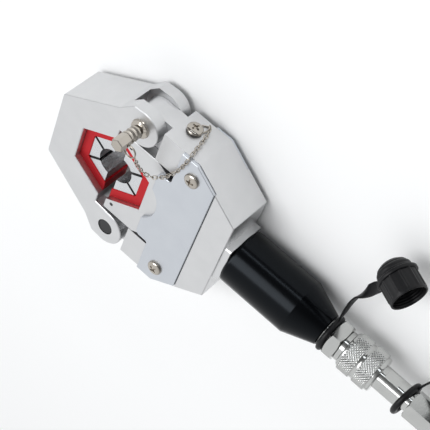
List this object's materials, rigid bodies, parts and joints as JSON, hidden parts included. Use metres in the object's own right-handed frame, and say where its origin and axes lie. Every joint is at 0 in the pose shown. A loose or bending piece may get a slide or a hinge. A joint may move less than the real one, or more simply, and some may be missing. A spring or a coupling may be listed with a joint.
{
  "type": "hydraulic hose crimping head",
  "caption": "Hand-held hydraulic crimping head: C-shaped head with hexagonal dies, sliding pusher, pull pin on a chain, ram cylinder and screw coupler.",
  "frame": {"origin": "centre of the closed crimp, half way through the head's thickness", "axes": "+X along the ram axis, from the dies to the hose end; +Y across, towards the pull pin; +Z out of the front face. The tool lies on its back."},
  "size_m": [0.4312, 0.2137, 0.0773],
  "materials": {
    "satin_aluminium": "satin machined",
    "cover_aluminium": "satin",
    "nickel": "bright nickel",
    "black_steel": "black oxide",
    "red_anodised": "red anodised",
    "jaw_steel": "ground and plated",
    "tool_steel": "ground",
    "bronze": "turned",
    "black_anodised": "gloss black",
    "zinc_plate": "zinc plated",
    "black_rubber": "matte moulded"
  },
  "bodies": {
    "yoke": {"head_block": "satin_aluminium", "yoke_body": "satin_aluminium", "front_cover_plate": "cover_aluminium", "rear_cover_plate": "cover_aluminium", "cover_screws": "nickel", "chain_screw": "nickel", "chain_end_ring": "nickel", "chain": "nickel", "hinge_pin": "black_steel", "pull_pin_bush": "nickel", "head_die_frame": "red_anodised", "head_jaw_1": "jaw_steel", "head_jaw_2": "jaw_steel", "head_jaw_3": "jaw_steel", "head_die_spacers": "black_rubber", "head_die_dowel": "tool_steel", "return_spring": "tool_steel", "rod_bush": "bronze", "rod_wiper": "black_rubber", "cylinder_barrel": "black_anodised", "hex_adapter": "zinc_plate", "coupler_body": "zinc_plate", "coupler_tube": "zinc_plate", "end_fitting": "zinc_plate"},
    "ram": {"pusher": "satin_aluminium", "ram_die_frame": "red_anodised", "ram_jaw_1": "jaw_steel", "ram_jaw_2": "jaw_steel", "ram_jaw_3": "jaw_steel", "ram_die_spacers": "black_rubber", "ram_die_dowel": "tool_steel", "ram_rod": "tool_steel", "piston": "tool_steel", "piston_seal": "black_rubber"},
    "pull_pin": {"pull_pin": "nickel", "split_ring": "nickel"},
    "sleeve": {"coupler_sleeve": "zinc_plate"},
    "dust_cap": {"dust_cap_ring": "black_rubber", "dust_cap_strap": "black_rubber", "dust_cap": "black_rubber"},
    "plug_cap": {"plug_cap_ring": "black_rubber", "plug_cap_strap": "black_rubber", "plug_cap": "black_rubber"}
  },
  "joints": [
    {"name": "ram_slide", "type": "slide", "parent": "yoke", "child": "ram", "axis": [-1, 0, 0], "range_m": [0, 0.0075], "stiffness_N_per_m": 3000, "springref_m": -0.02, "deforming": ["return_spring"]},
    {"name": "pull_pin_slide", "type": "slide", "parent": "yoke", "child": "pull_pin", "axis": [0, 0, 1], "range_m": [0, 0.048], "deforming": ["chain"]},
    {"name": "sleeve_spin", "type": "hinge", "parent": "yoke", "child": "sleeve", "pos_m": [0.26, 0, 0], "axis": [1, 0, 0], "continuous": true},
    {"name": "dust_cap_swivel", "type": "hinge", "parent": "yoke", "child": "dust_cap", "pos_m": [0.2322, 0, 0], "axis": [1, 0, 0], "continuous": true},
    {"name": "plug_cap_swivel", "type": "hinge", "parent": "yoke", "child": "plug_cap", "pos_m": [0.3124, 0, 0], "axis": [1, 0, 0], "continuous": true}
  ]
}
